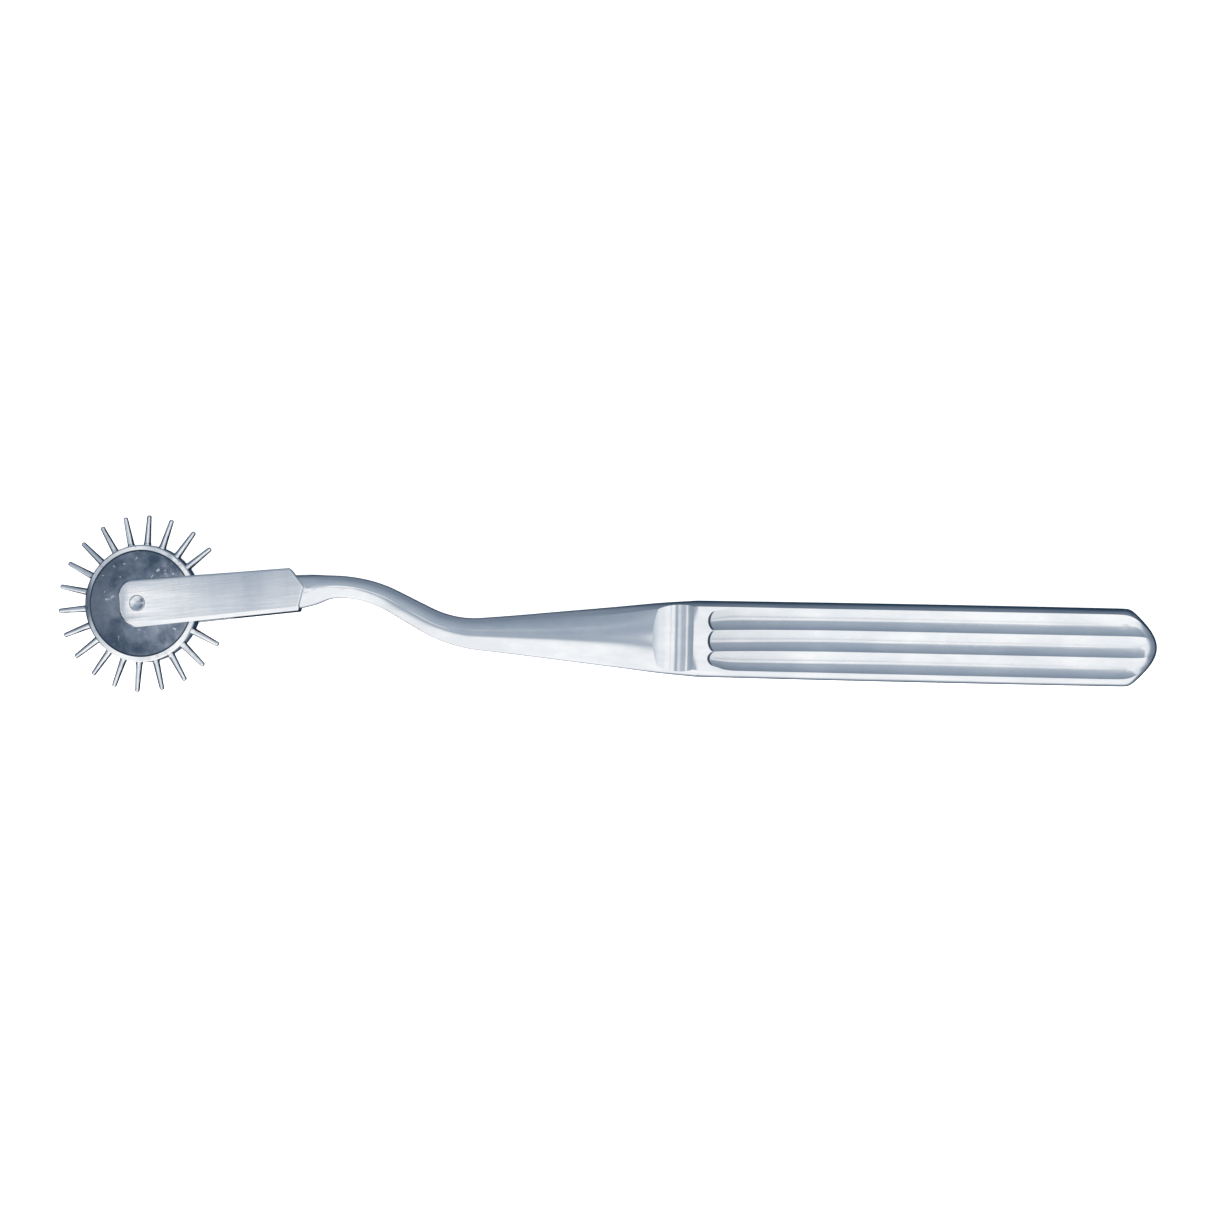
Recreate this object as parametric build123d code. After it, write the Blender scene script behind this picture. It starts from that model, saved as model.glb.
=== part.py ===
from build123d import *
import os
from math import asin, copysign, cos, radians, sin, tan

# Neurological pin wheel: a toothed disc with tapered pins that turns in the
# forked end of a one-piece forged steel handle. It lies flat on its back.
# +X runs along the handle towards its tail, +Z is up out of the broad face, and
# the origin is the middle of the plain collar on the handle's back face.
# Millimetres and degrees throughout.

# Grip
grip_width = 13.1
grip_thickness = 8.4
grip_flat_width = 10.7       # the flat of each broad face, between the rounded sides
collar_length = 2.4          # plain band at the front of the flutes
tail_x = 75.7                # tip of the tail
dome_rim = (6.4, 7.4)        # tail dome, as distance from the tip and radius
dome_cheek = (2.8, 5.17)
dome_brow = (0.75, 2.36)
dome_nose = (0.17, 1.05)
dome_height_ratio = 1.35     # how much blunter the dome is seen from the side

# Flutes, three on each broad face
flute_pitch = 3.56
flute_depth = 0.6
flute_end_bulge = 0.6        # how far each flute's rounded front end stands forward

# Thumb scoop, one on each broad face, just ahead of the collar
scoop_radius = 5.5
scoop_depth = 1.35

# Neck and S-bend shank
neck_length = 37.3           # straight taper ahead of the collar
shank_overlap = 2.5          # how far the shank runs on inside the fork's root
bend_radius = 22.0
bend_angle = 27.0            # how steeply the shank climbs between its two bends
bend_straight = 6.3
fork_tilt = 6.0              # slope of the fork against the grip

# Fork
fork_reach = 32.8            # from the end of the second bend to the axle
fork_end_width = 8.3
fork_base_width = 7.4
fork_thickness = 7.2
fork_nose = 3.35             # past the axle
fork_nose_radius = 3.0
fork_shoulder_top = 27.7     # from the axle to the upper shoulder corner
fork_shoulder_bottom = 28.6  # and to the lower one
fork_point = 30.0            # and to the point between them
fork_shoulder_lean = 10.0    # how far the shoulder walls slope in towards the back face
fork_edge_bevel = 0.4
fork_lower_bevel = 0.7       # on the long edges of the lower side, which is ground back more
slot_width = 3.9
slot_length = 16.2           # from the axle to the slot's floor

# Axle rivet
axle_radius = 1.25
axle_head_radius = 1.45
axle_head_depth = 0.5        # sunk into each fork arm
axle_head_crown = 0.1        # stands proud of each fork arm

# Wheel
disc_radius = 10.2
disc_thickness = 3.0
rim_bevel = 0.3
bore_clearance = 0.05        # radial, on the axle
boss_radius = 2.6
boss_height = 0.35           # keeps the disc off each fork arm
pin_count = 22
first_pin_angle = 6.2
stem_pin_lean = 2.4           # the pins on either side of the first one sit closer to it
pin_tip_reach = 15.45        # from the axle to the pin tips
pin_seat_reach = 7.7         # from the axle to the foot of each pin
pin_root_radius = 0.67
pin_tip_radius = 0.40

# Worked out from the sizes above
mid_z = grip_thickness / 2
collar_front = -collar_length / 2
collar_back = collar_length / 2
bend_start = collar_front - neck_length


def arc_sagitta_radius(half_chord, sagitta):
    """Radius of the arc that rises by sagitta over a chord of twice half_chord."""
    return (half_chord**2 + sagitta**2) / (2 * sagitta)


def shank_line():
    """Centre line from the collar to the fork: straight, up, straight, over."""
    start = (collar_front, 0, mid_z)
    neck = Line(start, (bend_start, 0, mid_z))
    lift = JernArc(neck @ 1, neck % 1, bend_radius, -bend_angle)
    climb = Line(lift @ 1, lift @ 1 + (lift % 1) * bend_straight)
    crest = JernArc(climb @ 1, climb % 1, bend_radius, bend_angle + fork_tilt)
    run_length = fork_reach - fork_point + shank_overlap
    run_in = Line(crest @ 1, crest @ 1 + (crest % 1) * run_length)
    return neck, lift, climb, crest, run_in


def axle_place():
    """The axle's centre, with local X along the fork towards the grip."""
    crest = shank_line()[3]
    centre = crest @ 1 + (crest % 1) * fork_reach
    return Location((centre.X, centre.Y, mid_z), (0, 0, fork_tilt))


def rounded_section(half_width, half_height, corner_share):
    """Closed section with crowned faces and rounded sides, in local X and Y.

    The corners between faces and sides stand at corner_share of the full half
    width and half height: 0.707 gives an ellipse-like outline without corners.
    """
    share_x, share_y = corner_share
    cx, cy = half_width * share_x, half_height * share_y
    top = ThreePointArc((cx, cy), (0, half_height), (-cx, cy))
    left = ThreePointArc((-cx, cy), (-half_width, 0), (-cx, -cy))
    bottom = ThreePointArc((-cx, -cy), (0, -half_height), (cx, -cy))
    right = ThreePointArc((cx, -cy), (half_width, 0), (cx, cy))
    return make_face([top, left, bottom, right])


def section_plane(line, share):
    """Plane across a stretch of the centre line, local X across, local Y up."""
    along = line % share
    return Plane(origin=line @ share, x_dir=(along.Y, -along.X, 0), z_dir=along)


def neck_and_shank():
    """The tapering neck and the bent shank, in one loft along the centre line."""
    neck, lift, climb, crest, run_in = shank_line()
    square = (grip_flat_width / grip_width, 0.985)
    round_ = (0.7071, 0.7071)
    stations = [
        (neck, 0.0, 6.47, 4.20, square),
        (neck, 0.17, 5.98, 4.05, (0.80, 0.86)),
        (neck, 0.36, 5.21, 3.72, (0.74, 0.78)),
        (neck, 0.63, 4.17, 3.15, round_),
        (neck, 0.91, 3.12, 2.60, round_),
        (lift, 0.40, 2.50, 2.30, round_),
        (climb, 0.20, 2.16, 2.15, round_),
        (crest, 0.25, 1.92, 2.05, round_),
        (crest, 0.70, 1.90, 2.15, round_),
        (crest, 0.95, 2.08, 2.40, (0.73, 0.73)),
        (run_in, 0.35, 2.60, 2.75, (0.76, 0.76)),
        (run_in, 1.0, 2.95, 2.95, (0.78, 0.78)),
    ]
    faces = [
        section_plane(line, share) * rounded_section(half_width, half_height, corner)
        for line, share, half_width, half_height, corner in stations
    ]
    return loft(faces)


def grip_section():
    """Outline across the grip: two flats and two rounded sides."""
    flat, side, top = grip_flat_width / 2, grip_width / 2, grip_thickness / 2
    outline = [
        Line((-flat, top), (flat, top)),
        ThreePointArc((flat, top), (side, 0), (flat, -top)),
        Line((flat, -top), (-flat, -top)),
        ThreePointArc((-flat, -top), (-side, 0), (-flat, top)),
    ]
    across = Plane(origin=(collar_front, 0, mid_z), x_dir=(0, 1, 0), z_dir=(1, 0, 0))
    return across * make_face(outline)


def tail_dome():
    """A blunt bullet about the grip's axis, that rounds off the tail."""
    profile = (dome_rim, dome_cheek, dome_brow, dome_nose)
    rim, cheek, brow, nose = [(tail_x - back, reach) for back, reach in profile]
    tip = (tail_x, 0)
    far = (collar_front, 2 * dome_rim[1])
    start = (collar_front, 0)
    outline = [
        Line(start, far),
        Line(far, rim),
        ThreePointArc(rim, cheek, brow),
        ThreePointArc(brow, nose, tip),
        Line(tip, start),
    ]
    bullet = revolve(make_face(outline), Axis.X)
    return Pos(0, 0, mid_z) * scale(bullet, by=(1, 1, dome_height_ratio))


def flute_cutter(y, side):
    """Groove cutter along the grip at y, on the front (side 1) or back (-1) face."""
    half = flute_pitch / 2
    radius = arc_sagitta_radius(half, flute_depth)
    axis_z = mid_z + side * (grip_thickness / 2 - flute_depth + radius)
    start = collar_back + flute_end_bulge
    length = tail_x + 1 - start
    rod = Pos(start + length / 2 - 1, y, axis_z) * Rot(0, 90, 0) * Cylinder(radius, length + 2)
    plan = [
        Line((start, y + half), (tail_x + 1, y + half)),
        Line((tail_x + 1, y + half), (tail_x + 1, y - half)),
        Line((tail_x + 1, y - half), (start, y - half)),
        ThreePointArc((start, y - half), (collar_back, y), (start, y + half)),
    ]
    block = Pos(0, 0, mid_z) * extrude(make_face(plan), amount=side * grip_thickness)
    return rod & block


def scoop_cutter(side):
    """Cylinder across the neck that hollows the thumb rest ahead of the collar."""
    half_chord = (2 * scoop_radius * scoop_depth - scoop_depth**2) ** 0.5
    x = collar_front - half_chord
    z = mid_z + side * (grip_thickness / 2 - scoop_depth + scoop_radius)
    return Pos(x, 0, z) * Rot(90, 0, 0) * Cylinder(scoop_radius, 2 * grip_width)


def face_edges(block):
    """Edges round the top and the bottom face of a flat block."""
    faces = block.faces().sort_by(Axis.Z)
    return faces[-1].edges() + faces[0].edges()


def shoulder_cutter(corner):
    """Block beyond one shoulder wall, which leans in from the front face downwards."""
    point = Vector(fork_point, 0, fork_thickness / 2)
    edge = (point - Vector(*corner, fork_thickness / 2)).normalized()
    outward = Vector(abs(edge.Y), copysign(edge.X, corner[1]), -tan(radians(fork_shoulder_lean)))
    wide = 4 * fork_end_width
    wall = Plane(origin=point, x_dir=edge, z_dir=outward)
    return wall * Pos(0, 0, wide / 2) * Box(wide, wide, wide)


def fork_block():
    """The fork before its slot: a flat bar with a round nose and a pointed shoulder."""
    nose, base = fork_end_width / 2, fork_base_width / 2
    outline = Polyline(
        (-fork_nose, -nose),
        (fork_point, -base),
        (fork_point, base),
        (-fork_nose, nose),
        (-fork_nose, -nose),
    )
    plan = make_face(outline)
    nose_corners = plan.vertices().sort_by(Axis.X)[:2]
    plan = fillet(nose_corners, fork_nose_radius)
    block = Pos(0, 0, -fork_thickness / 2) * extrude(plan, amount=fork_thickness)
    block -= shoulder_cutter((fork_shoulder_top, base))
    block -= shoulder_cutter((fork_shoulder_bottom, -base))
    long_edge = fork_shoulder_top - fork_nose
    edges = face_edges(block)
    lower = [edge for edge in edges if edge.length > long_edge and edge.center().Y < 0]
    block = chamfer(lower, fork_lower_bevel)
    edges = face_edges(block)
    rest = [edge for edge in edges if edge.length < long_edge or edge.center().Y > 0]
    return chamfer(rest, fork_edge_bevel)


def forged_handle():
    """Grip, neck, shank and fork: one forging, milled and fluted."""
    grip = extrude(grip_section(), amount=tail_x - collar_front) & tail_dome()
    body = grip + neck_and_shank() + axle_place() * fork_block()
    open_length = slot_length + 2 * fork_nose
    slot = Box(open_length, 4 * fork_end_width, slot_width)
    body -= axle_place() * Pos(slot_length - open_length / 2, 0, 0) * slot
    body -= axle_place() * rivet_solid()
    for side in (1, -1):
        body -= scoop_cutter(side)
        for row in (-1, 0, 1):
            body -= flute_cutter(row * flute_pitch, side)
    return body


def rivet_solid():
    """The axle with both its closed heads, about local Z."""
    face = fork_thickness / 2
    seat = face - axle_head_depth
    crown = face + axle_head_crown
    ball = arc_sagitta_radius(axle_head_radius, axle_head_crown)
    half_turn = asin(axle_head_radius / ball) / 2
    half_x, half_y = ball * sin(half_turn), crown - ball * (1 - cos(half_turn))
    outline = [
        Line((0, -crown), (0, crown)),
        ThreePointArc((0, crown), (half_x, half_y), (axle_head_radius, face)),
        Line((axle_head_radius, face), (axle_head_radius, seat)),
        Line((axle_head_radius, seat), (axle_radius, seat)),
        Line((axle_radius, seat), (axle_radius, -seat)),
        Line((axle_radius, -seat), (axle_head_radius, -seat)),
        Line((axle_head_radius, -seat), (axle_head_radius, -face)),
        ThreePointArc((axle_head_radius, -face), (half_x, -half_y), (0, -crown)),
    ]
    return revolve(Plane.XZ * make_face(outline), Axis.Z)


def pin_solid(angle):
    """One tapered pin, its foot in the disc's rim, lying in the wheel's plane."""
    seat, shoulder, shank_end = pin_seat_reach, disc_radius, pin_tip_reach - pin_tip_radius
    halfway = pin_tip_radius * sin(radians(45))
    profile = [
        Line((seat, 0), (seat, pin_root_radius)),
        Line((seat, pin_root_radius), (shoulder, pin_root_radius)),
        Line((shoulder, pin_root_radius), (shank_end, pin_tip_radius)),
        ThreePointArc((shank_end, pin_tip_radius), (shank_end + halfway, halfway), (pin_tip_reach, 0)),
        Line((pin_tip_reach, 0), (seat, 0)),
    ]
    return Rot(0, 0, angle) * revolve(make_face(profile), Axis.X)


def wheel_disc():
    """Bevelled disc with a hub boss on each side, a bore and a hole for each pin."""
    half = disc_thickness / 2
    boss = half + boss_height
    bore = axle_radius + bore_clearance
    outline = Polyline(
        (bore, -boss),
        (boss_radius, -boss),
        (boss_radius, -half),
        (disc_radius - rim_bevel, -half),
        (disc_radius, rim_bevel - half),
        (disc_radius, half - rim_bevel),
        (disc_radius - rim_bevel, half),
        (boss_radius, half),
        (boss_radius, boss),
        (bore, boss),
        (bore, -boss),
    )
    disc = revolve(Plane.XZ * make_face(outline), Axis.Z)
    depth = disc_radius - pin_seat_reach + rim_bevel
    hole = Pos(pin_seat_reach + depth / 2, 0, 0) * Rot(0, 90, 0) * Cylinder(pin_root_radius, depth)
    for number in range(pin_count):
        disc -= Rot(0, 0, pin_angle(number)) * hole
    return disc


def pin_angle(number):
    """Direction of a pin in the row's frame, from +X towards +Y."""
    angle = first_pin_angle + number * 360 / pin_count
    if number == 1:
        angle -= stem_pin_lean
    if number == pin_count - 1:
        angle += stem_pin_lean
    return angle


def main():
    os.makedirs("parts", exist_ok=True)
    hub = Pos(axle_place().position)
    nodes = {
        "forged_handle": forged_handle(),
        "axle_rivet": axle_place() * rivet_solid(),
        "wheel_disc": hub * wheel_disc(),
    }
    for number in range(pin_count):
        nodes[f"pin_{number + 1:02d}"] = hub * pin_solid(pin_angle(number))
    for name, solid in nodes.items():
        export_step(solid, f"parts/{name}.step")


main()
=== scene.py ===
"""Neurological pin wheel, built round its packed frame.

A toothed disc with tapered pins turns in the forked end of a one-piece steel handle.
Sizes are typed in millimetres and degrees, and the meshes are made in metres.
"""

from math import atan, cos, pi, radians, sin, sqrt, tan

import bmesh
import bpy
import numpy as np
from bpy.props import FloatProperty, FloatVectorProperty, IntProperty, PointerProperty
from mathutils import Matrix, Vector


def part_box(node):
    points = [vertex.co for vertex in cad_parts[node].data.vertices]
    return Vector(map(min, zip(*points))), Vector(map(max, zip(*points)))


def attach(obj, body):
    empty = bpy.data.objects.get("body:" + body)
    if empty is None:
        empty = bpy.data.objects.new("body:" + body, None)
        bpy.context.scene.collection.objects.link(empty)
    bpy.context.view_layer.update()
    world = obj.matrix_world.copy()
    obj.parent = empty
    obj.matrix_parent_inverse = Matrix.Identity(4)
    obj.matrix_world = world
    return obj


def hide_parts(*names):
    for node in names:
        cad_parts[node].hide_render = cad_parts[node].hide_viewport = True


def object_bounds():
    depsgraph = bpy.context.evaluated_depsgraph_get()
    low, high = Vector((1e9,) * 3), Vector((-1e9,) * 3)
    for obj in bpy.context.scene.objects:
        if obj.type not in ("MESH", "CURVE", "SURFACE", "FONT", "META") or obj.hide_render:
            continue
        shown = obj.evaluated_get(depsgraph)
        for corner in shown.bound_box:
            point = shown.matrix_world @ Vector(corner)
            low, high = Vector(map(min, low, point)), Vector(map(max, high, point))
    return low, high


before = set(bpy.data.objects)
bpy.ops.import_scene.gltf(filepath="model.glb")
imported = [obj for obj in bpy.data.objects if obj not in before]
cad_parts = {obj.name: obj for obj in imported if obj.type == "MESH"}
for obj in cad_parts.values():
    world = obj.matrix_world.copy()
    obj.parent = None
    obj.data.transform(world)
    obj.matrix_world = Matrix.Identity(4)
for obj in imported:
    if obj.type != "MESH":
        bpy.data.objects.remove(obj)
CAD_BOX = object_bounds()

bl_info = {
    "name": "Pin wheel maker",
    "version": (1, 0, 0),
    "blender": (4, 5, 0),
    "location": "3D View > Sidebar > Pin wheel",
    "description": "Builds a forged steel pin wheel round its packed frame",
    "category": "Object",
}

MM = 0.001
PAINTED_FLUTE_SHADE = "painted_flute_shade"         # attribute: how much painted shade lies on the flutes' end walls and in the flutes near the collar
CREASE = radians(14)          # edges sharper than this are shaded as edges
FACE_COLUMNS = 16             # quads across one flute
LAND_COLUMNS = 3              # quads between the outer flute and the grip's corner
SIDE_COLUMNS = 24             # quads round one side of the handle
SMALLEST = 1e-4               # keeps a crown or a reach from being nothing at all
CORNER_GAP = 0.02             # plain steel kept between the outer flutes and the grip's corners
BELLY = 0.08                  # how much fuller the grip's sides are in the middle than at its ends
DRIFT = 0.45                  # how far the flutes lie to one side at their front ends
DRIFT_RUN = 26.0              # length over which they come back to the middle
OUTER_RUN = 5.0               # length over which the outer flutes widen to the corners
DOME_RUN = 12.0               # stretch of the tail that the dome can reach
SHADE_RUN = 16.0               # length over which the painted shade in the flutes fades out behind their ends
SCOOP_FACETS = 240
SCOOP_HALF_LENGTH = 12.0
TURNED_FACETS = 64            # round the rivet and its hole
DISC_FACETS = 180
PIN_FACETS = 28

HUB_LOW, HUB_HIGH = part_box("wheel_disc")
HUB = (HUB_LOW + HUB_HIGH) / 2 / MM
HANDLE_LOW, HANDLE_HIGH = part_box("forged_handle")
DISC_RADIUS = (HUB_HIGH.x - HUB_LOW.x) / 2 / MM
PIN_NODES = sorted(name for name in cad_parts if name.startswith("pin_"))


def size(name, default, description, **more):
    """A length in millimetres for the sidebar."""
    return FloatProperty(name=name, default=default, description=description, unit="NONE", **more)


def angle(name, default, description):
    """An angle in degrees for the sidebar."""
    return FloatProperty(name=name, default=default, description=description)


def shade(name, default, description):
    """A colour for the sidebar."""
    return FloatVectorProperty(
        name=name, default=default, description=description, subtype="COLOR", size=3, min=0, max=1
    )


class GripSizes(bpy.types.PropertyGroup):
    """Sizes of the fluted grip and its thumb scoops, in millimetres."""

    width: size("Width", 13.1, "Across the grip, side to side")
    thickness: size("Thickness", (HANDLE_HIGH.z - HANDLE_LOW.z) / MM, "Between the two broad faces")
    flat_width: size("Flat width", 10.7, "The flat of each broad face")
    collar_length: size("Collar", 2.4, "Plain band ahead of the flutes")
    tail_x: size("Tail", HANDLE_HIGH.x / MM, "Where the tail ends, from the middle of the collar")
    dome_sharpness: size("Dome nose", 3.7, "Radius of the tail's very tip")
    dome_opening: size("Dome opening", 0.44, "How fast the dome widens behind its tip")
    dome_height_ratio: size("Dome height ratio", 1.35, "How much blunter the dome is in side view")
    flute_pitch: size("Flute pitch", 3.56, "Between two flutes")
    flute_depth: size("Flute depth", 0.6, "At the middle of a flute")
    flute_end_bulge: size("Flute end bulge", 0.8, "How far a flute's round end stands forward")
    scoop_radius: size("Scoop radius", 5.5, "Of the round cutter that made the thumb scoop")
    scoop_depth: size("Scoop depth", 1.35, "At the deepest line of the scoop")


class ShankSizes(bpy.types.PropertyGroup):
    """Sizes of the tapering neck and the bent shank, in millimetres and degrees."""

    neck_length: size("Neck", 37.3, "Straight taper ahead of the collar")
    bend_radius: size("Bend radius", 22.0, "Of both bends, at the centre line")
    bend_angle: angle("Climb", 27.0, "How steeply the shank climbs between its bends")
    bend_straight: size("Climb length", 6.3, "Straight between the two bends")
    fork_tilt: angle("Fork tilt", 6.0, "Slope of the fork against the grip")
    run_in: size("Run-in", 5.3, "Straight that ends inside the fork's root")


class ForkSizes(bpy.types.PropertyGroup):
    """Sizes of the fork and the rivet through it, in millimetres."""

    end_width: size("Width at the nose", 8.3, "Across the fork at its open end")
    base_width: size("Width at the root", 7.4, "Across the fork at its shoulder")
    thickness: size("Thickness", 7.2, "Over both arms")
    nose: size("Nose", 3.35, "How far the arms reach past the axle")
    nose_radius: size("Nose radius", 3.0, "Rounding of the arms' corners")
    shoulder_top: size("Upper shoulder", 27.7, "From the axle to the upper corner")
    shoulder_bottom: size("Lower shoulder", 28.6, "From the axle to the lower corner")
    point: size("Shoulder point", 30.0, "From the axle to the point between the corners")
    shoulder_lean: angle("Shoulder lean", 10.0, "Slope of the shoulder walls to the back")
    edge_bevel: size("Edge rounding", 0.4, "Of the fork's edges")
    lower_bevel: size("Lower bevel", 0.7, "Of the long edges on the lower side")
    slot_width: size("Slot width", 3.9, "Between the two arms")
    slot_length: size("Slot length", 16.2, "From the axle to the slot's floor")
    rivet_radius: size("Rivet radius", 1.25, "Of the axle between the arms")
    head_radius: size("Rivet head radius", 1.45, "Of the closed heads")
    head_depth: size("Rivet head depth", 0.5, "Sunk into each arm")


class WheelSizes(bpy.types.PropertyGroup):
    """Sizes of the disc and its ring of pins, in millimetres."""

    disc_radius: size("Disc radius", DISC_RADIUS, "Without the pins")
    disc_thickness: size("Disc thickness", 3.0, "Away from its bosses")
    rim_bevel: size("Rim bevel", 0.2, "Of both edges of the rim")
    land_width: size("Land", 0.9, "Bright band between the face and the outline")
    bore_radius: size("Bore radius", 1.3, "Of the hole for the axle")
    boss_radius: size("Boss radius", 2.6, "Of the raised ring at the hub")
    boss_height: size("Boss height", 0.35, "Of the raised ring over the disc")
    pin_count: IntProperty(name="Pins", default=len(PIN_NODES), min=1, description="Pins round the rim")
    first_pin_angle: angle("First pin", 6.2, "Direction of the first pin, from the handle's length")
    pin_reach: size("Pin reach", 15.44, "From the axle to the pin tips")
    pin_root_radius: size("Pin root radius", 0.67, "Where a pin leaves the rim")
    pin_tip_radius: size("Pin tip radius", 0.40, "Just behind the tip")
    stem_pin_lean: angle("Stem pin lean", 2.4, "How much closer the next pins sit to the first")
    pin_wander: angle("Pin wander", 0.7, "How far hand-set pins lean off their lines")
    pin_seed: IntProperty(name="Pin seed", default=4, description="Which set of leans the pins have")


class SteelFinish(bpy.types.PropertyGroup):
    """Colours and polish of the steel parts."""

    satin: shade("Satin steel", (0.955, 0.962, 0.972), "Grip, neck and shank")
    satin_shadow: shade("Satin steel, dull", (0.83, 0.855, 0.885), "Duller patches of the same")
    # Painted shade: darkens the flutes' end walls and the flutes just behind them near the collar.
    corner_shadow: shade("Corners", (0.11, 0.15, 0.20), "Polish left standing where the flutes begin")
    fork: shade("Brushed fork", (0.97, 0.975, 0.985), "Faces of the fork")
    # Painted shade along the fork's faces, mixed with random bands and mottling.
    fork_shadow: shade("Brushed fork, dull", (0.72, 0.765, 0.82), "Duller bands of the fork's faces")
    # The disc's colours are painted darker than the other steel as a painted dark reflection, since the disc
    # lies in shade between the fork's arms. Its darker patches, placed at random, are painted dark reflection
    # too.
    disc: shade("Disc", (0.40, 0.45, 0.52), "Mirror-polished faces of the disc")
    disc_shadow: shade("Disc, dark", (0.13, 0.17, 0.23), "Darker patches of the disc's faces")
    pins: shade("Pins", (0.97, 0.975, 0.98), "Drawn steel pins and the rim's land")
    # Painted shade on the pins' flanks, a painted dark reflection on the disc's -X side and a painted dark
    # ring inside the disc's land.
    painted_dark: shade("Pin streaks", (0.05, 0.08, 0.12), "Dark streaks along the pins and round the rim")


class StageSetting(bpy.types.PropertyGroup):
    """Floor, light and camera."""

    floor_colour: shade("Floor", (0.96, 0.96, 0.96), "Pale floor")
    floor_glow: FloatProperty(name="Floor glow", default=0.75, description="Light given off by the floor")
    lamp_power: FloatProperty(
        name="Lamp power", default=14.0, description="Soft lamp overhead", subtype="POWER"
    )
    view_turn: angle("View turn", 10.45, "Camera's turn towards the tail")
    view_tip: angle("View tip", -1.38, "Camera's tip along Y")
    view_roll: angle("View roll", 1.359, "Camera's roll")
    view_distance: size("View distance", 600.0, "From the aim to the camera")
    view_lens: size("Lens", 104.62, "Focal length on a 36 mm wide sensor")
    aim_x: size("Aim along X", 2.465, "From the middle of the object")
    aim_y: size("Aim along Y", 0.96, "From the middle of the object")


SETTINGS = {
    "pinwheel_grip": GripSizes,
    "pinwheel_shank": ShankSizes,
    "pinwheel_fork": ForkSizes,
    "pinwheel_wheel": WheelSizes,
    "pinwheel_steel": SteelFinish,
    "pinwheel_stage": StageSetting,
}


# Meshes and objects

def new_piece(name, points, faces, materials=(), painted_flute_shade=None):
    """A mesh object at the origin, from points in millimetres."""
    mesh = bpy.data.meshes.new(name)
    mesh.from_pydata([tuple(c * MM for c in p) for p in points], [], faces)
    for material in materials:
        mesh.materials.append(material)
    if painted_flute_shade is not None:
        mesh.attributes.new(PAINTED_FLUTE_SHADE, "FLOAT", "POINT").data.foreach_set("value", painted_flute_shade)
    mesh.update()
    piece = bpy.data.objects.new(name, mesh)
    bpy.context.scene.collection.objects.link(piece)
    return piece


def settle(piece):
    """Turns a piece and its modifiers into a plain mesh."""
    depsgraph = bpy.context.evaluated_depsgraph_get()
    depsgraph.update()
    mesh = bpy.data.meshes.new_from_object(piece.evaluated_get(depsgraph))
    mesh.name = piece.name
    piece.modifiers.clear()
    piece.data = mesh
    return piece


def combine(piece, tool, operation):
    """Cuts a piece with a tool, or joins the tool to it, and removes the tool."""
    step = piece.modifiers.new(operation.lower(), "BOOLEAN")
    step.operation = operation
    step.solver = "EXACT"
    step.object = tool
    settle(piece)
    bpy.data.objects.remove(tool)
    return piece


def finish_surface(piece):
    """Closes doubled points, faces everything outwards and sets smooth shading with creases."""
    mesh = piece.data
    bm = bmesh.new()
    bm.from_mesh(mesh)
    bmesh.ops.remove_doubles(bm, verts=bm.verts, dist=0.002 * MM)
    bmesh.ops.dissolve_degenerate(bm, edges=bm.edges, dist=0.001 * MM)
    bmesh.ops.recalc_face_normals(bm, faces=bm.faces)
    if bm.calc_volume(signed=True) < 0:
        bmesh.ops.reverse_faces(bm, faces=bm.faces)
    bm.to_mesh(mesh)
    bm.free()
    mesh.shade_smooth()
    mesh.set_sharp_from_angle(angle=CREASE)
    mesh.update()
    return piece


def ride_as(piece, body, slot, *nodes):
    """Puts a finished piece on its body, in place of its frame nodes."""
    if len(piece.data.polygons) == 0:
        raise RuntimeError(f"{piece.name} has no faces")
    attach(piece, body)
    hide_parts(*nodes)


def place_mesh(piece, turn, place):
    """Turns a mesh about Z by degrees and moves it, in millimetres, leaving its object alone."""
    piece.data.transform(Matrix.Translation(Vector(place) * MM) @ Matrix.Rotation(radians(turn), 4, "Z"))
    return piece


# Node trees

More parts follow.
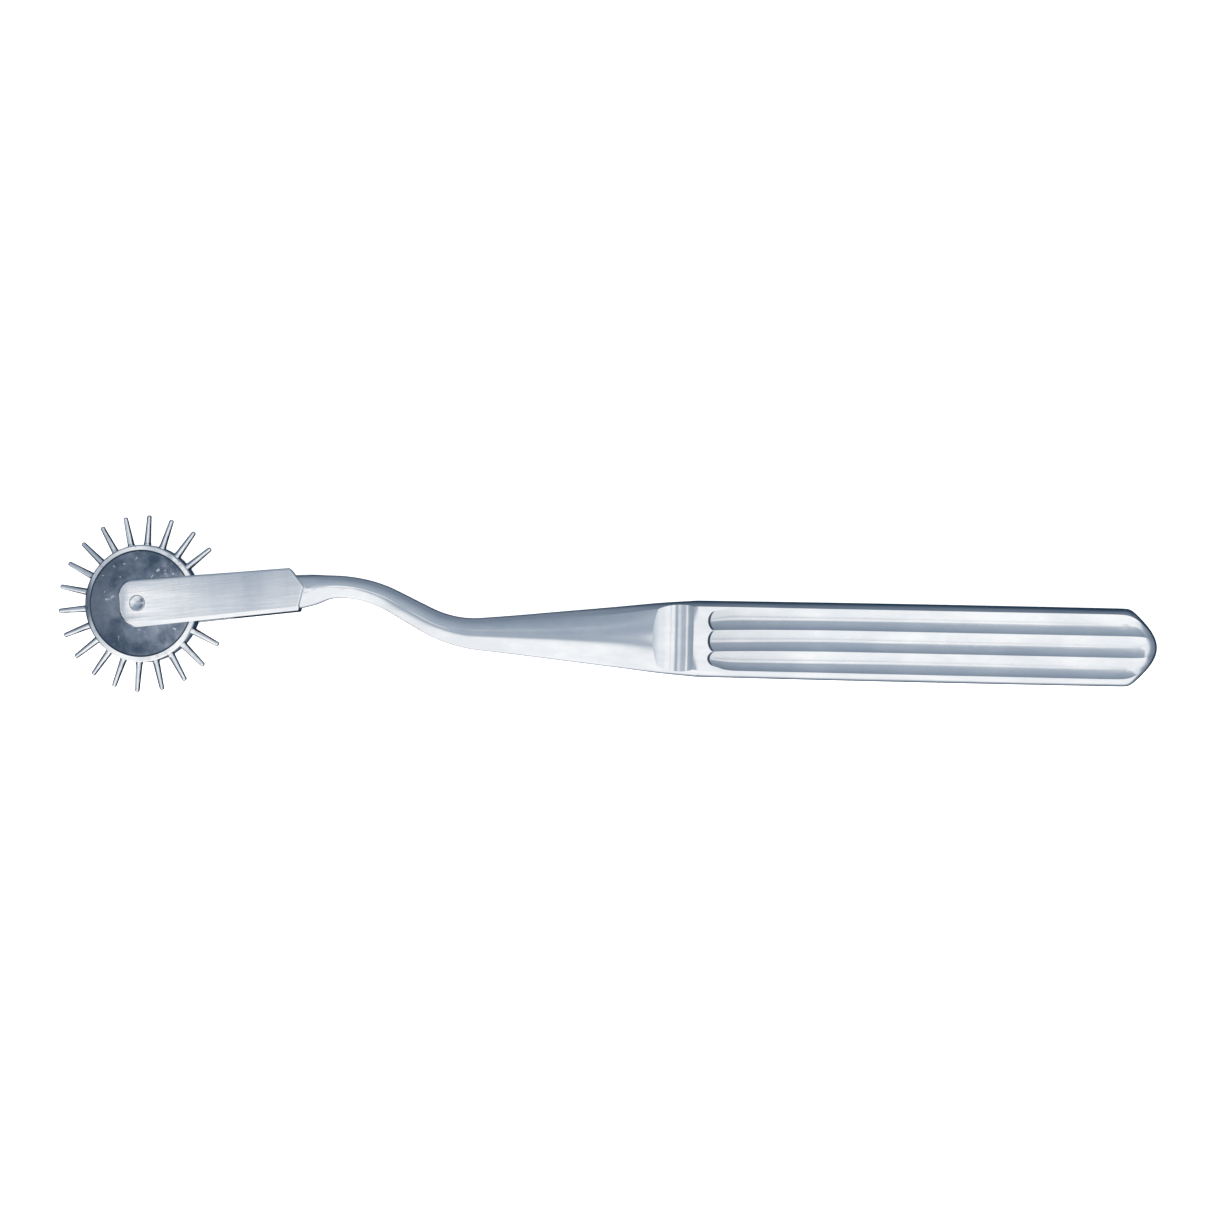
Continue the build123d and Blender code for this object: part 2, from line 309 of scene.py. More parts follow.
class Steps:
    """Adds nodes to a tree, so that a material or a shape reads as a list of steps."""

    def __init__(self, tree):
        self.tree = tree

    def feed(self, socket, value):
        if isinstance(value, bpy.types.NodeSocket):
            self.tree.links.new(value, socket)
        elif value is not None:
            socket.default_value = value

    def add(self, kind, inputs=None, **settings):
        made = self.tree.nodes.new(kind)
        for name, value in settings.items():
            setattr(made, name, value)
        for key, value in (inputs or {}).items():
            self.feed(made.inputs[key], value)
        return made

    def math(self, operation, first, second=None, clamp=False):
        made = self.add("ShaderNodeMath", {0: first, 1: second}, operation=operation, use_clamp=clamp)
        return made.outputs[0]

    def spread(self, value, low, high, new_low=0.0, new_high=1.0):
        """Maps a value from one range to another with a soft start and stop."""
        inputs = {"Value": value, "From Min": low, "From Max": high, "To Min": new_low, "To Max": new_high}
        made = self.add("ShaderNodeMapRange", inputs, interpolation_type="SMOOTHSTEP")
        return made.outputs["Result"]

    def blend(self, factor, first, second):
        """Mixes two colours."""
        made = self.add("ShaderNodeMix", data_type="RGBA")
        colours = [socket for socket in made.inputs if socket.type == "RGBA"]
        self.feed(made.inputs[0], factor)
        for socket, value in zip(colours, (first, second)):
            self.feed(socket, value)
        return [socket for socket in made.outputs if socket.type == "RGBA"][0]

    def ramp(self, value, stops, easing="LINEAR"):
        """Reads a value on a colour ramp of (position, colour) stops."""
        made = self.add("ShaderNodeValToRGB", {"Fac": value})
        made.color_ramp.interpolation = easing
        points = made.color_ramp.elements
        while len(points) < len(stops):
            points.new(0.5)
        for number, (position, _) in enumerate(stops):
            points[number].position = position
        for number, (_, colour) in enumerate(stops):
            points[number].color = colour
        return made.outputs["Color"]

    def sum(self, first, *others, clamp=False):
        """Adds values, and clamps the last sum if asked."""
        for number, value in enumerate(others):
            first = self.math("ADD", first, value, clamp=clamp and number == len(others) - 1)
        return first

    def product(self, first, second):
        return self.math("MULTIPLY", first, second)

    def from_hub(self, place):
        """Object coordinates measured from the wheel's hub, split into X, Y and Z."""
        hub = tuple(Vector(HUB) * MM)
        centred = self.add("ShaderNodeVectorMath", {0: place, 1: hub}, operation="SUBTRACT")
        return self.add("ShaderNodeSeparateXYZ", {0: centred.outputs[0]}).outputs

    def grain(self, place, scale, detail=4.0, roughness=0.55, stretch=(1, 1, 1), turn=0.0):
        """Noise over the object, in grains per metre, stretched along a turned direction."""
        mapped = self.add(
            "ShaderNodeMapping", {"Vector": place, "Rotation": (0, 0, turn)}, vector_type="TEXTURE"
        ).outputs[0]
        stretched = self.add("ShaderNodeVectorMath", {0: mapped, 1: stretch}, operation="MULTIPLY")
        made = self.add(
            "ShaderNodeTexNoise",
            {"Vector": stretched.outputs[0], "Scale": scale, "Detail": detail, "Roughness": roughness},
        )
        return made.outputs["Fac"]


def opaque(colour):
    return (*colour, 1.0)


def steel_base(name):
    """A metal material with its shader, its steps and its object coordinates."""
    material = bpy.data.materials.new(name)
    material.use_nodes = True
    steps = Steps(material.node_tree)
    shader = material.node_tree.nodes["Principled BSDF"]
    shader.inputs["Metallic"].default_value = 1.0
    place = steps.add("ShaderNodeTexCoord").outputs["Object"]
    return material, steps, shader, place


def relief(steps, shader, layers):
    """Stacks bumps on a shader, each a height, a depth in millimetres and a strength."""
    normal = None
    for height, depth, strength in layers:
        inputs = {"Height": height, "Distance": depth * MM, "Strength": strength}
        if normal is not None:
            inputs["Normal"] = normal
        normal = steps.add("ShaderNodeBump", inputs).outputs["Normal"]
    steps.feed(shader.inputs["Normal"], normal)
    return normal


def satin_steel(finish):
    """Satin-polished forging: soft mottling, fine lengthwise hairlines and a few pits."""
    material, steps, shader, place = steel_base("satin_steel")
    clouds = steps.grain(place, 210, 5, 0.6, stretch=(0.45, 1, 1))
    hairlines = steps.grain(place, 2600, 3, 0.6, stretch=(0.03, 1, 1))
    waves = steps.grain(place, 75, 2, 0.5, stretch=(0.35, 1, 1))
    pits = steps.add("ShaderNodeTexVoronoi", {"Vector": place, "Scale": 170.0}).outputs["Distance"]
    pit = steps.spread(pits, 0.02, 0.045, 1.0, 0.0)
    patch = steps.spread(clouds, 0.35, 0.68)
    colour = steps.blend(patch, opaque(finish.satin_shadow), opaque(finish.satin))
    # Painted shade, read from a mesh attribute: darker on the flutes' end walls and in the flutes near the
    # collar.
    flute_shade = steps.add("ShaderNodeAttribute", attribute_name=PAINTED_FLUTE_SHADE).outputs["Fac"]
    colour = steps.blend(flute_shade, colour, opaque(finish.corner_shadow))
    steps.feed(shader.inputs["Base Color"], colour)
    rough = steps.spread(clouds, 0.3, 0.75, 0.12, 0.07)
    rough = steps.sum(rough, steps.product(hairlines, 0.04))
    steps.feed(shader.inputs["Roughness"], rough)
    relief(steps, shader, [(waves, 0.42, 0.8), (hairlines, 0.004, 0.5), (pit, -0.02, 0.6)])
    return material


def brushed_fork_steel(finish):
    """Ground faces of the fork: brushed lengthwise, with soft cross bands from the wheel, and painted shade
    along the fork: bright at the nose, darkest near the slot's floor.

    A broad bump stands for a crown along the fork, which makes the nose brighter than the root.
    """
    material, steps, shader, place = steel_base("brushed_fork_steel")
    tilt = radians(bpy.context.scene.pinwheel_shank.fork_tilt)
    hub = tuple(Vector(HUB) * MM)
    turned = {"Vector": place, "Location": hub, "Rotation": (0, 0, tilt)}
    along_fork = steps.add("ShaderNodeMapping", turned, vector_type="TEXTURE").outputs[0]
    from_axle = steps.add("ShaderNodeSeparateXYZ", {0: along_fork}).outputs["X"]
    length = steps.sum(steps.product(from_axle, 1 / (34 * MM)), 0.1)
    hairlines = steps.grain(along_fork, 3400, 4, 0.65, stretch=(0.035, 1, 1))
    bands = steps.grain(along_fork, 420, 3, 0.5, stretch=(1, 0.08, 0.2))
    clouds = steps.grain(along_fork, 160, 4, 0.6)
    # Painted shade along the fork: bright at the nose, darkest near the slot's floor, a little lighter
    # towards the shoulder.
    shade_levels = ((0.0, 0.02), (0.18, 0.06), (0.36, 0.36), (0.6, 0.85), (0.74, 0.75), (0.95, 0.6))
    darker = steps.ramp(length, [(position, opaque((level,) * 3)) for position, level in shade_levels], "EASE")
    banding = steps.spread(bands, 0.3, 0.7, -0.14, 0.14)
    mottling = steps.spread(clouds, 0.3, 0.7, -0.16, 0.16)
    darker = steps.sum(darker, steps.sum(banding, mottling), clamp=True)
    colour = steps.blend(darker, opaque(finish.fork), opaque(finish.fork_shadow))
    fine = steps.spread(hairlines, 0.35, 0.65, 0.0, 0.12)
    colour = steps.blend(fine, colour, opaque((0.5, 0.55, 0.6)))
    steps.feed(shader.inputs["Base Color"], colour)
    polished_nose = steps.spread(length, 0.1, 0.5, -0.12, 0.0)
    rough = steps.sum(steps.spread(hairlines, 0.3, 0.7, 0.26, 0.36), polished_nose)
    steps.feed(shader.inputs["Roughness"], rough)
    crown = steps.spread(from_axle, -12 * MM, 20 * MM, 1.0, 0.0)
    relief(steps, shader, [(crown, 2.1, 1.0), (bands, 0.03, 0.5), (hairlines, 0.012, 0.7)])
    return material


def polished_disc_steel(finish, wheel):
    """Mirror-polished disc, its faces painted dark as a dark reflection, with smoky patches, turning rings,
    scratches painted as bright glints, a painted dark reflection on its -X side, a painted dark ring and a
    bright land.

    The land's normals lean along X, so that it takes the light from the side like a bevel.
    """
    material, steps, shader, place = steel_base("polished_disc_steel")
    split = steps.from_hub(place)
    flat = steps.add("ShaderNodeCombineXYZ", {0: split["X"], 1: split["Y"]}).outputs[0]
    reach = steps.add("ShaderNodeVectorMath", {0: flat}, operation="LENGTH").outputs["Value"]
    radius = wheel.disc_radius * MM
    rim_start = radius - wheel.land_width * MM
    rim = steps.spread(reach, rim_start, rim_start + 0.06 * MM)
    inner_edge = steps.spread(reach, rim_start - 0.30 * MM, rim_start - 0.16 * MM)
    line = steps.math("SUBTRACT", inner_edge, rim)
    smoke = steps.grain(place, 190, 4, 0.55)
    fine_smoke = steps.grain(place, 900, 3, 0.6)
    curls = steps.grain(place, 170, 1, 0.4)
    near_curl = steps.math("ABSOLUTE", steps.math("SUBTRACT", curls, 0.5))
    on_curl = steps.spread(near_curl, 0.004, 0.014, 1.0, 0.0)
    # Scratches, painted as bright glints.
    scratch_glint = steps.product(on_curl, steps.spread(fine_smoke, 0.58, 0.63))

    mottling = steps.spread(fine_smoke, 0.3, 0.7, -0.12, 0.12)
    patch = steps.sum(steps.spread(smoke, 0.32, 0.66), mottling, clamp=True)
    # Painted dark reflection over the disc's faces, darker in smoky patches placed at random.
    colour = steps.blend(patch, opaque(finish.disc_shadow), opaque(finish.disc))
    # Painted dark reflection over the disc's -X side, broken up by the smoky patches.
    west_dark_reflection = steps.spread(split["X"], -0.75 * radius, -0.35 * radius, 0.6, 0.0)
    west_dark_reflection = steps.product(west_dark_reflection, steps.spread(smoke, 0.3, 0.6))
    colour = steps.blend(west_dark_reflection, colour, opaque(finish.painted_dark))
    colour = steps.blend(steps.product(scratch_glint, 0.8), colour, opaque((0.98, 0.98, 0.99)))
    # Painted dark reflection on the land's -X end, with darker spots at random.
    tarnish_and_dark_reflection = steps.spread(split["X"], -0.95 * radius, -0.84 * radius, 0.85, 0.0)
    tarnish_and_dark_reflection = steps.sum(tarnish_and_dark_reflection, steps.spread(fine_smoke, 0.58, 0.75, 0.0, 0.5), clamp=True)
    land = steps.blend(tarnish_and_dark_reflection, opaque(finish.pins), opaque(finish.disc_shadow))
    colour = steps.blend(rim, colour, land)
    # Painted shade: a dark ring where the face meets the land.
    colour = steps.blend(line, colour, opaque(finish.painted_dark))
    steps.feed(shader.inputs["Base Color"], colour)

    rough = steps.sum(steps.spread(smoke, 0.3, 0.7, 0.10, 0.18), steps.product(scratch_glint, 0.2))
    rough = steps.math("SUBTRACT", rough, steps.product(rim, 0.07))
    steps.feed(shader.inputs["Roughness"], rough)
    rings = steps.math("SINE", steps.product(reach, 2 * pi / (0.12 * MM)))
    face_normal = relief(steps, shader, [(smoke, 0.12, 0.6), (rings, 0.0006, 0.5), (scratch_glint, -0.01, 0.5)])
    slope = steps.product(split["X"], -1 / (20 * MM))
    land_normal = relief(steps, shader, [(slope, 1.8, 1.0)])
    mixed = steps.add("ShaderNodeMix", data_type="VECTOR")
    steps.feed(mixed.inputs["Factor"], rim)
    vectors = [socket for socket in mixed.inputs if socket.type == "VECTOR" and socket.name in ("A", "B")]
    for socket, normal in zip(vectors, (face_normal, land_normal)):
        steps.feed(socket, normal)
    mixed_normal = [socket for socket in mixed.outputs if socket.type == "VECTOR"][0]
    steps.feed(shader.inputs["Normal"], mixed_normal)
    return material


def bright_pin_steel(finish):
    """Drawn steel of the pins: bright to the wheel's two faces, with painted shade on the flanks between.

    Their normals lean along X over the whole ring, so that the pins take the light unevenly.
    """
    material, steps, shader, place = steel_base("bright_pin_steel")
    clouds = steps.grain(place, 700, 3, 0.6)
    specks = steps.grain(place, 3000, 2, 0.5)
    colour = steps.blend(steps.spread(clouds, 0.35, 0.7), opaque((0.82, 0.85, 0.88)), opaque(finish.pins))
    # Painted shade: dark where a pin's surface turns away from the wheel's faces, on its flanks, with a
    # random wander.
    outward = steps.add("ShaderNodeTexCoord").outputs["Normal"]
    facing = steps.math("ABSOLUTE", steps.add("ShaderNodeSeparateXYZ", {0: outward}).outputs["Z"])
    stray = steps.grain(place, 420, 2, 0.5)
    facing = steps.sum(facing, steps.spread(stray, 0.3, 0.7, -0.10, 0.10))
    colour = steps.blend(steps.spread(facing, 0.62, 0.80, 1.0, 0.0), colour, opaque(finish.painted_dark))
    steps.feed(shader.inputs["Base Color"], colour)
    steps.feed(shader.inputs["Roughness"], steps.spread(clouds, 0.3, 0.7, 0.20, 0.11))
    slope = steps.spread(steps.from_hub(place)["X"], -18 * MM, 18 * MM, 1.0, 0.0)
    relief(steps, shader, [(slope, 2.0, 1.0), (clouds, 0.03, 0.6), (specks, 0.004, 0.5)])
    return material


def ground_rivet_steel(finish):
    """Rivet heads ground flush with the fork and polished over."""
    material, steps, shader, place = steel_base("ground_rivet_steel")
    marks = steps.grain(place, 2800, 3, 0.6, stretch=(0.08, 1, 1), turn=radians(60))
    clouds = steps.grain(place, 800, 3, 0.6)
    colour = steps.blend(steps.spread(clouds, 0.35, 0.7), opaque((0.66, 0.70, 0.75)), opaque(finish.fork))
    steps.feed(shader.inputs["Base Color"], colour)
    steps.feed(shader.inputs["Roughness"], steps.spread(marks, 0.3, 0.7, 0.16, 0.26))
    relief(steps, shader, [(marks, 0.005, 0.6)])
    return material


# Handle: a sweep along the bent centre line

def arc_radius(half_chord, sagitta):
    """Radius of the arc that rises by sagitta over a chord of twice half_chord."""
    return (half_chord**2 + sagitta**2) / (2 * sagitta)


def smooth_between(where, knots, values):
    """Values at some places, on soft curves through the given knots."""
    knots, values = np.array(knots, float), np.array(values, float)
    slopes = np.gradient(values, knots)
    where = np.clip(where, knots[0], knots[-1])
    left = np.clip(np.searchsorted(knots, where, side="right") - 1, 0, len(knots) - 2)
    gap = knots[left + 1] - knots[left]
    t = (where - knots[left]) / gap
    return (
        (2 * t**3 - 3 * t**2 + 1) * values[left]
        + (t**3 - 2 * t**2 + t) * gap * slopes[left]
        + (3 * t**2 - 2 * t**3) * values[left + 1]
        + (t**3 - t**2) * gap * slopes[left + 1]
    )


def centre_line(grip, shank, length):
    """Point and heading at a length from the collar's front, towards the fork."""
    climb, fall = radians(shank.bend_angle), radians(shank.bend_angle + shank.fork_tilt)
    runs = [
        (shank.neck_length, 0.0),
        (shank.bend_radius * climb, -climb),
        (shank.bend_straight, 0.0),
        (shank.bend_radius * fall, fall),
        (shank.run_in, 0.0),
    ]
    x, y, heading = -grip.collar_length / 2, 0.0, pi
    for run, turn in runs:
        step = min(length, run)
        if turn:
            rate = turn / run
            x += (sin(heading + rate * step) - sin(heading)) / rate
            y -= (cos(heading + rate * step) - cos(heading)) / rate
            heading += rate * step
        else:
            x += step * cos(heading)
            y += step * sin(heading)
        length -= step
        if length <= 0:
            break
    return x, y, heading


def bend_lengths(shank):
    """Lengths from the collar's front to the ends of the neck, both bends and the run-in."""
    lift = shank.bend_radius * radians(shank.bend_angle)
    crest = shank.bend_radius * radians(shank.bend_angle + shank.fork_tilt)
    steps = [shank.neck_length, lift, shank.bend_straight, crest, shank.run_in]
    return [float(v) for v in np.cumsum(steps)]


def shank_sections(grip, shank):
    """Knots along the neck and shank: half width, half height, corner shares and sideways shift."""
    neck, lift, climb, crest, run_in = bend_lengths(shank)
    half_wide, half_tall = grip.width / 2, grip.thickness / 2
    flat = grip.flat_width / grip.width
    return [
        (0.0, half_wide - BELLY, half_tall, flat, 0.985, 0.0),
        (0.17 * neck, 5.98, 4.05, 0.80, 0.86, 0.0),
        (0.36 * neck, 5.21, 3.72, 0.74, 0.78, 0.0),
        (0.63 * neck, 4.17, 3.15, 0.71, 0.71, 0.0),
        (0.91 * neck, 3.12, 2.60, 0.71, 0.71, 0.0),
        (neck + 0.40 * (lift - neck), 2.50, 2.30, 0.71, 0.71, 0.0),
        (lift + 0.20 * (climb - lift), 2.16, 2.15, 0.71, 0.71, 0.0),
        (climb + 0.25 * (crest - climb), 1.92, 2.05, 0.71, 0.71, 0.0),
        (climb + 0.70 * (crest - climb), 1.90, 2.15, 0.71, 0.71, 0.0),
        (climb + 0.95 * (crest - climb), 2.08, 2.40, 0.73, 0.73, -0.05),
        (crest + 0.35 * (run_in - crest), 2.60, 2.75, 0.76, 0.76, -0.25),
        (run_in, 2.95, 2.95, 0.78, 0.78, -0.4),
    ]


def face_shares(grip, x):
    """Shares of the flat half width for the columns across one broad face, upper side first."""
    flat = grip.flat_width / 2
    start = grip.collar_length / 2
    open_up = min(1.0, max(0.0, (x - start) / OUTER_RUN))
    lower = flat - CORNER_GAP - 0.8 * (1 - open_up) ** 2
    upper = flat - CORNER_GAP - 0.75 * (1 - open_up) ** 2
    drift = -DRIFT * (1 - min(1.0, max(0.0, x / DRIFT_RUN))) ** 2
    high, low = drift + grip.flute_pitch / 2, drift - grip.flute_pitch / 2
    spans = [(flat, upper, LAND_COLUMNS), (upper, high, FACE_COLUMNS), (high, low, FACE_COLUMNS)]
    spans += [(low, -lower, FACE_COLUMNS), (-lower, -flat, LAND_COLUMNS)]
    shares, hollow = [], []
    for number, (top, bottom, count) in enumerate(spans):
        for step in range(count):
            t = step / count
            shares.append((top + (bottom - top) * t) / flat)
            hollow.append(1 - (2 * t - 1) ** 2 if number in (1, 2, 3) else 0.0)
    return np.array(shares), np.array(hollow)


def flute_profile(grip, hollow):
    """Depth of a circular flute where hollow goes 0, 1, 0 across it as a parabola."""
    half = grip.flute_pitch / 2
    radius = arc_radius(half, grip.flute_depth)
    offset = half * np.sqrt(np.clip(1 - hollow, 0, 1))
    depth = np.sqrt(radius**2 - offset**2) - (radius - grip.flute_depth)
    return np.where(hollow > 0, depth, 0.0)


def ring_outline(half_wide, half_tall, corner_x, corner_y, shares):
    """Points round a section: front face from upper to lower side, lower side, back, upper side."""
    across = corner_x * shares
    crown = max(half_tall - corner_y, SMALLEST)
    radius = arc_radius(corner_x, crown)
    front = half_tall - radius + np.sqrt(radius**2 - across**2)
    bulge = max(half_wide - corner_x, SMALLEST)
    side_radius = arc_radius(corner_y, bulge)
    half_turn = 2 * atan(bulge / corner_y)
    turn = half_turn * (1 - 2 * np.arange(SIDE_COLUMNS) / SIDE_COLUMNS)
    side_a = half_wide - side_radius * (1 - np.cos(turn))
    side_b = side_radius * np.sin(turn)
    a = np.concatenate([across, -side_a, -across, side_a])
    b = np.concatenate([front, side_b, -front, -side_b])
    return a, b


def dome_reach(grip, back):
    """Radius of the tail's dome at a distance behind its tip."""
    return sqrt(2 * grip.dome_sharpness * back + grip.dome_opening * back**2)


def grip_ring(grip, x, depth_share, shift_share, wall):
    """One ring of the grip at x, with the flutes cut to a share of their depth."""
    shares, hollow = face_shares(grip, x)
    half_wide, half_tall = grip.width / 2, grip.thickness / 2
    belly = half_wide - BELLY + BELLY * sin(pi * min(1.0, max(0.0, x / (grip.tail_x - 5))))
    corner = grip.flat_width / 2
    a, b = ring_outline(belly, half_tall, corner, half_tall - 1e-3, shares)
    depth = depth_share * flute_profile(grip, hollow)
    count = len(shares)
    side = SIDE_COLUMNS
    b[:count] -= depth
    b[count + side:2 * count + side] += depth
    bulge = grip.flute_end_bulge
    half = grip.flute_pitch / 2
    end_radius = arc_radius(half, bulge)
    offset = half * np.sqrt(np.clip(1 - hollow, 0, 1))
    scallop = end_radius - np.sqrt(end_radius**2 - offset**2)
    scallop = np.where(hollow > 0, scallop, bulge)
    shift = np.zeros_like(a)
    shift[:count] = scallop * shift_share
    shift[count + side:2 * count + side] = scallop * shift_share
    # Painted shade: full on the flutes' end walls, and a little along the flutes, fading out behind their
    # ends.
    darker = np.zeros_like(a)
    run = max(0.0, 1 - (x - grip.collar_length / 2) / SHADE_RUN)
    cut = np.where(hollow > 0, 1.0, 0.0)
    darker[:count] = cut * max(wall, 0.22 * run * depth_share)
    darker[count + side:2 * count + side] = darker[:count]
    back = grip.tail_x - x
    if back < DOME_RUN:
        reach = max(dome_reach(grip, back), SMALLEST)
        push = np.sqrt((a / reach) ** 2 + (b / (grip.dome_height_ratio * reach)) ** 2)
        firm = 6 + 20 * np.clip(np.abs(a) / half_wide, 0, 1) ** 6
        keep = np.exp(-np.logaddexp(0, firm * np.log(np.maximum(push, 1e-9))) / firm)
        a, b = a * keep, b * keep
    return x + shift, a, b, darker


def grip_stations(grip):
    """(x, share of flute depth, share of end scallop, share of painted shade on the end wall) from the tail
    to the collar.
    """
    back = [0.004, 0.02, 0.05, 0.1, 0.17, 0.26, 0.38, 0.52, 0.7, 0.9, 1.1, 1.3, 1.5, 1.75, 2.0, 2.3, 2.6]
    back += [2.9, 3.2, 3.5, 3.8, 4.1, 4.4, 4.7, 5.0, 5.3, 5.6, 6.0, 6.5, 7.2, 8.2, 9.6, 11.5]
    stations = [(grip.tail_x - b, 1.0, 0.0, 0.0) for b in back]
    start = grip.collar_length / 2
    for x in np.linspace(grip.tail_x - 14, start + 7, 22):
        stations.append((float(x), 1.0, 0.0, 0.0))
    lead = ((5.5, 0.0), (4.4, 0.05), (3.4, 0.18), (2.5, 0.4), (1.7, 0.66), (1.1, 0.86), (0.6, 0.97))
    for gap, share in lead:
        stations.append((start + gap, 1.0, share, 0.0))
    wall = ((0.42, 1.0, 0.1), (0.34, 0.97, 0.7), (0.26, 0.85, 1.0), (0.18, 0.62, 1.0), (0.10, 0.34, 1.0))
    for gap, depth, dark in wall + ((0.04, 0.1, 0.9), (0.01, 0.01, 0.3), (0.0, 0.0, 0.0)):
        stations.append((start + gap, depth, 1.0, dark))
    for gap, share in ((-0.15, 1.0), (-0.5, 0.75), (-0.9, 0.4), (-1.4, 0.1), (-1.9, 0.0)):
        stations.append((start + gap, 0.0, share, 0.0))
    return stations


def swept_handle(grip, shank, materials):
    """Grip, neck and shank as one closed sweep."""
    mid_z = grip.thickness / 2
    rings, painted_flute_shade = [], [0.0]
    for x, depth_share, shift_share, wall in grip_stations(grip):
        xs, a, b, darker = grip_ring(grip, x, depth_share, shift_share, wall)
        rings.append(np.column_stack([xs, a, mid_z + b]))
        painted_flute_shade.extend(float(v) for v in darker)
    knots = np.array(shank_sections(grip, shank))
    neck, lift, climb, crest, run_in = bend_lengths(shank)
    stretches = ((10, 16), (neck, 22), (lift, 20), (climb, 6), (crest, 26), (run_in, 10))
    lengths, begun = [], 0
    for end, count in stretches:
        lengths.extend(np.linspace(begun, end, count)[:-1])
        begun = end
    lengths.append(run_in)
    shares, _ = face_shares(grip, 0.0)
    for length in lengths:
        wide, tall, share_x, share_y, aside = (
            smooth_between(length, knots[:, 0], column) for column in knots.T[1:]
        )
        x, y, heading = centre_line(grip, shank, float(length))
        a, b = ring_outline(wide, tall, wide * share_x, tall * share_y, shares)
        a = a + aside
        rings.append(np.column_stack([x + a * sin(heading), y - a * cos(heading), mid_z + b]))
    count = len(rings[0])
    points = [(grip.tail_x, 0.0, mid_z)] + [tuple(p) for ring in rings for p in ring]
    last = len(points)
    points.append(tuple(np.mean(rings[-1], axis=0)))
    faces = [(0, 1 + (k + 1) % count, 1 + k) for k in range(count)]
    for row in range(len(rings) - 1):
        first = 1 + row * count
        for k in range(count):
            n = (k + 1) % count
            faces.append((first + k, first + n, first + count + n, first + count + k))
    end = 1 + (len(rings) - 1) * count
    faces += [(last, end + k, end + (k + 1) % count) for k in range(count)]
    painted_flute_shade += [0.0] * (len(points) - len(painted_flute_shade))
    return new_piece("handle_forging", points, faces, materials, painted_flute_shade)


def scoop_tool(grip, side, materials):
    """The round cutter across the neck that hollows one thumb scoop."""
    half_chord = sqrt(2 * grip.scoop_radius * grip.scoop_depth - grip.scoop_depth**2)
    x = -grip.collar_length / 2 - half_chord
    z = grip.thickness / 2 + side * (grip.thickness / 2 - grip.scoop_depth + grip.scoop_radius)
    count, wide = SCOOP_FACETS, SCOOP_HALF_LENGTH
    turns = [2 * pi * k / count for k in range(count)]
    circle = [(x + grip.scoop_radius * cos(t), z + grip.scoop_radius * sin(t)) for t in turns]
    points = [(px, -wide, pz) for px, pz in circle] + [(px, wide, pz) for px, pz in circle]
    faces = [tuple(range(count)), tuple(range(2 * count - 1, count - 1, -1))]
    faces += [(k, count + k, count + (k + 1) % count, (k + 1) % count) for k in range(count)]
    return finish_surface(new_piece("scoop_tool", points, faces, materials))


def corner_of(first, second):
    """Where two lines meet, each a point and a direction."""
    (p, d), (q, e) = first, second
    cross = d.x * e.y - d.y * e.x
    gap = q - p
    return p + d * ((gap.x * e.y - gap.y * e.x) / cross)


def rounded_outline(corners, radii, steps):
    """A closed outline with each corner rounded, with as many points for any radii."""
    outline = []
    for number, corner in enumerate(corners):
        before = (corners[number - 1] - corner).normalized()
        after = (corners[(number + 1) % len(corners)] - corner).normalized()
        half = before.angle(after) / 2
        radius = radii[number]
        centre = corner + (before + after).normalized() * (radius / sin(half))
        reach = radius / tan(half)
        start, stop = corner + before * reach - centre, corner + after * reach - centre
        sweep = start.angle_signed(stop)
        for step in range(steps[number] + 1):
            turn = -sweep * step / steps[number]
            point = centre + Matrix.Rotation(turn, 2) @ start
            outline.append((point.x, point.y))
    return outline


def fork_outline(fork, insets, depth):
    """The fork's outline, with each edge moved inwards and the shoulder leaning with depth."""
    nose, base = fork.end_width / 2, fork.base_width / 2
    lean = depth * tan(radians(fork.shoulder_lean))
    corners = [
        Vector((-fork.nose, -nose)),
        Vector((fork.shoulder_bottom, -base)),
        Vector((fork.point, 0.3)),
        Vector((fork.shoulder_top, base)),
        Vector((-fork.nose, nose)),
    ]
    moved = []
    eased, leaning = insets["edge"], insets["edge"] + lean
    for number, inset in enumerate((insets["lower"], leaning, leaning, eased, eased)):
        start, stop = corners[number], corners[(number + 1) % len(corners)]
        along = (stop - start).normalized()
        inward = Vector((-along.y, along.x))
        moved.append((start + inward * inset, along))
    inner = [corner_of(moved[number - 1], moved[number]) for number in range(len(moved))]
    nose_radius = fork.nose_radius - max(insets.values())
    return rounded_outline(inner, (nose_radius, 0.25, 0.2, 0.25, nose_radius), (18, 4, 4, 4, 18))


def fork_block(fork, materials):
    """The fork before its slot: a flat bar with a round nose, a pointed shoulder and eased edges."""
    half = fork.thickness / 2
    edge, lower = fork.edge_bevel, fork.lower_bevel
    depths = [0.0, 0.02, 0.06, 0.13, 0.22, 0.3, 0.5, 0.7, 1.2]
    rows = []
    for depth in depths:
        rounded = edge - sqrt(max(0.0, edge**2 - max(0.0, edge - depth) ** 2))
        rows.append((half - depth, {"edge": rounded, "lower": max(0.0, lower - depth)}))
    rows += [(-z, insets) for z, insets in reversed(rows)]
    outlines = [[(x, y, z) for x, y in fork_outline(fork, insets, half - z)] for z, insets in rows]
    count = len(outlines[0])
    points = [p for outline in outlines for p in outline]
    faces = [tuple(range(count)), tuple(range(len(points) - 1, len(points) - count - 1, -1))]
    for row in range(len(outlines) - 1):
        first = row * count
        for k in range(count):
            n = (k + 1) % count
            faces.append((first + n, first + k, first + count + k, first + count + n))
    block = finish_surface(new_piece("fork_block", points, faces, materials))
    for polygon in block.data.polygons:
        polygon.material_index = 1 if abs(polygon.normal.z) > 0.99 else 0
    return block


